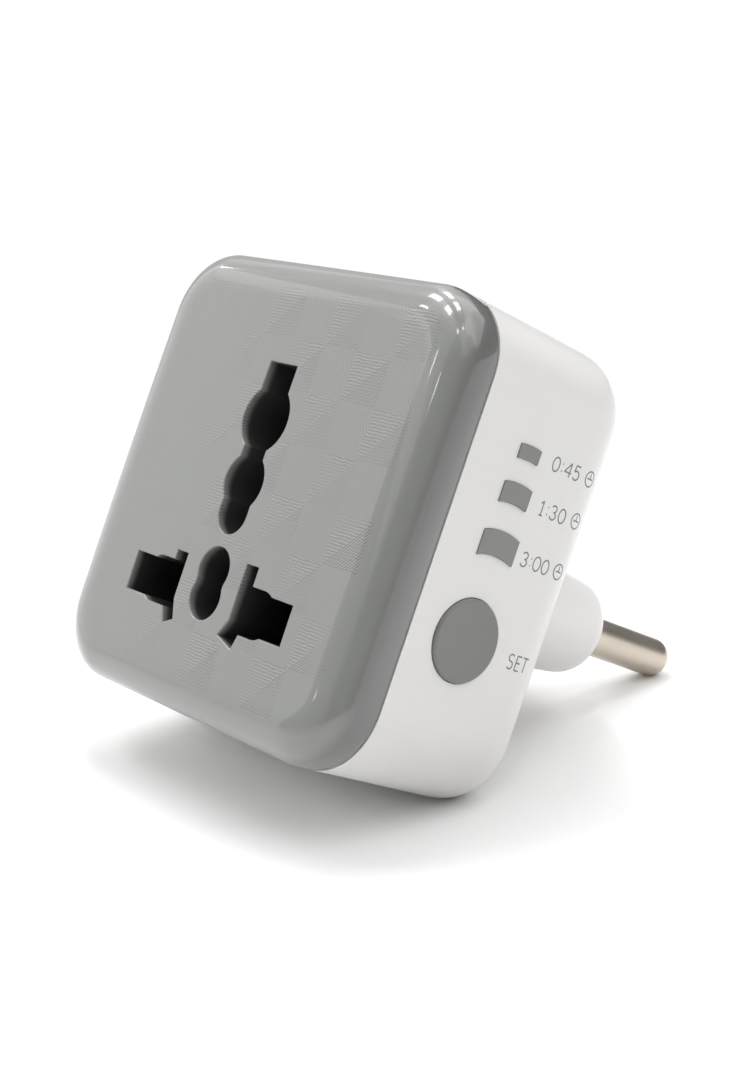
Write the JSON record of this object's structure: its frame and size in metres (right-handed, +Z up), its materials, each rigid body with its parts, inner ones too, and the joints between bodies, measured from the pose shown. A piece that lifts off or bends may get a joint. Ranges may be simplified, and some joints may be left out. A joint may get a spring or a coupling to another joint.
{
  "type": "plug-in timer switch",
  "caption": "Square plug-in countdown timer with a multi-standard socket in front, round pins behind, and a set button with time windows on its side.",
  "frame": {"origin": "midway between the two plug pins, on the end face of the plug boss", "axes": "+Y out of the wall plug along the pins, +Z up when plugged in with the earth opening on top, +X to the right seen from the socket side"},
  "size_m": [0.0523, 0.0642, 0.0521],
  "materials": {
    "cover_grey": "glossy grey polycarbonate",
    "housing_white": "satin white ABS",
    "button_grey": "satin grey",
    "window_grey": "grey translucent pane",
    "pin_nickel": "nickel-plated brass",
    "screw_steel": "zinc-plated steel",
    "holder_dark": "dark flame-retardant moulding",
    "contact_bronze": "phosphor bronze strip",
    "board_green": "glass-fibre circuit board",
    "relay_black": "black relay case",
    "coil_copper": "enamelled copper winding",
    "iron_bright": "plated soft iron",
    "film_capacitor_yellow": "potted box",
    "capacitor_sleeve": "sleeved aluminium can",
    "varistor_blue": "dipped coating",
    "fuse_brown": "moulded can",
    "diode_black": "moulded epoxy",
    "resistor_tan": "lacquered film",
    "chip_black": "moulded package",
    "led_white": "light-emitting diode",
    "shield_black": "light-tight frame",
    "switch_black": "switch case"
  },
  "bodies": {
    "case": {"front_cover": "cover_grey", "rear_housing": "housing_white", "case_screws": "screw_steel", "contact_holder": "holder_dark", "contact_left": "contact_bronze", "contact_right": "contact_bronze", "main_board": "board_green", "relay_base": "relay_black", "relay_cover": "relay_black", "relay_coil": "coil_copper", "relay_yoke": "iron_bright", "dropper_capacitor": "film_capacitor_yellow", "smoothing_capacitor": "capacitor_sleeve", "varistor": "varistor_blue", "fuse": "fuse_brown", "rectifier_diodes": "diode_black", "dropper_resistors": "resistor_tan", "control_board": "board_green", "link_header": "switch_black", "controller_chip": "chip_black", "light_shield": "shield_black", "switch_body": "switch_black", "pin_left": "pin_nickel", "pin_right": "pin_nickel", "window_0h45": "window_grey", "window_1h30": "window_grey", "window_3h00": "window_grey", "led_0h45": "led_white", "led_1h30": "led_white", "led_3h00": "led_white"},
    "button": {"set_button": "button_grey"},
    "plunger": {"switch_plunger": "switch_black"},
    "armature": {"relay_armature": "iron_bright", "relay_contact_arm": "contact_bronze"}
  },
  "joints": [
    {"name": "button_press", "type": "slide", "parent": "case", "child": "button", "axis": [-1, 0, 0], "range_m": [0, 0.0005], "stiffness_N_per_m": 2400},
    {"name": "plunger_press", "type": "slide", "parent": "case", "child": "plunger", "axis": [-1, 0, 0], "range_m": [0, 0.0005]},
    {"name": "armature_rock", "type": "hinge", "parent": "case", "child": "armature", "pos_m": [-0.0171, -0.03318, 0.002], "axis": [-1, 0, 0], "range_deg": [0, 3], "stiffness_Nm_per_rad": 0.02}
  ],
  "couplings": [
    {"joint": "plunger_press", "follows": "button_press", "ratio": 1}
  ]
}
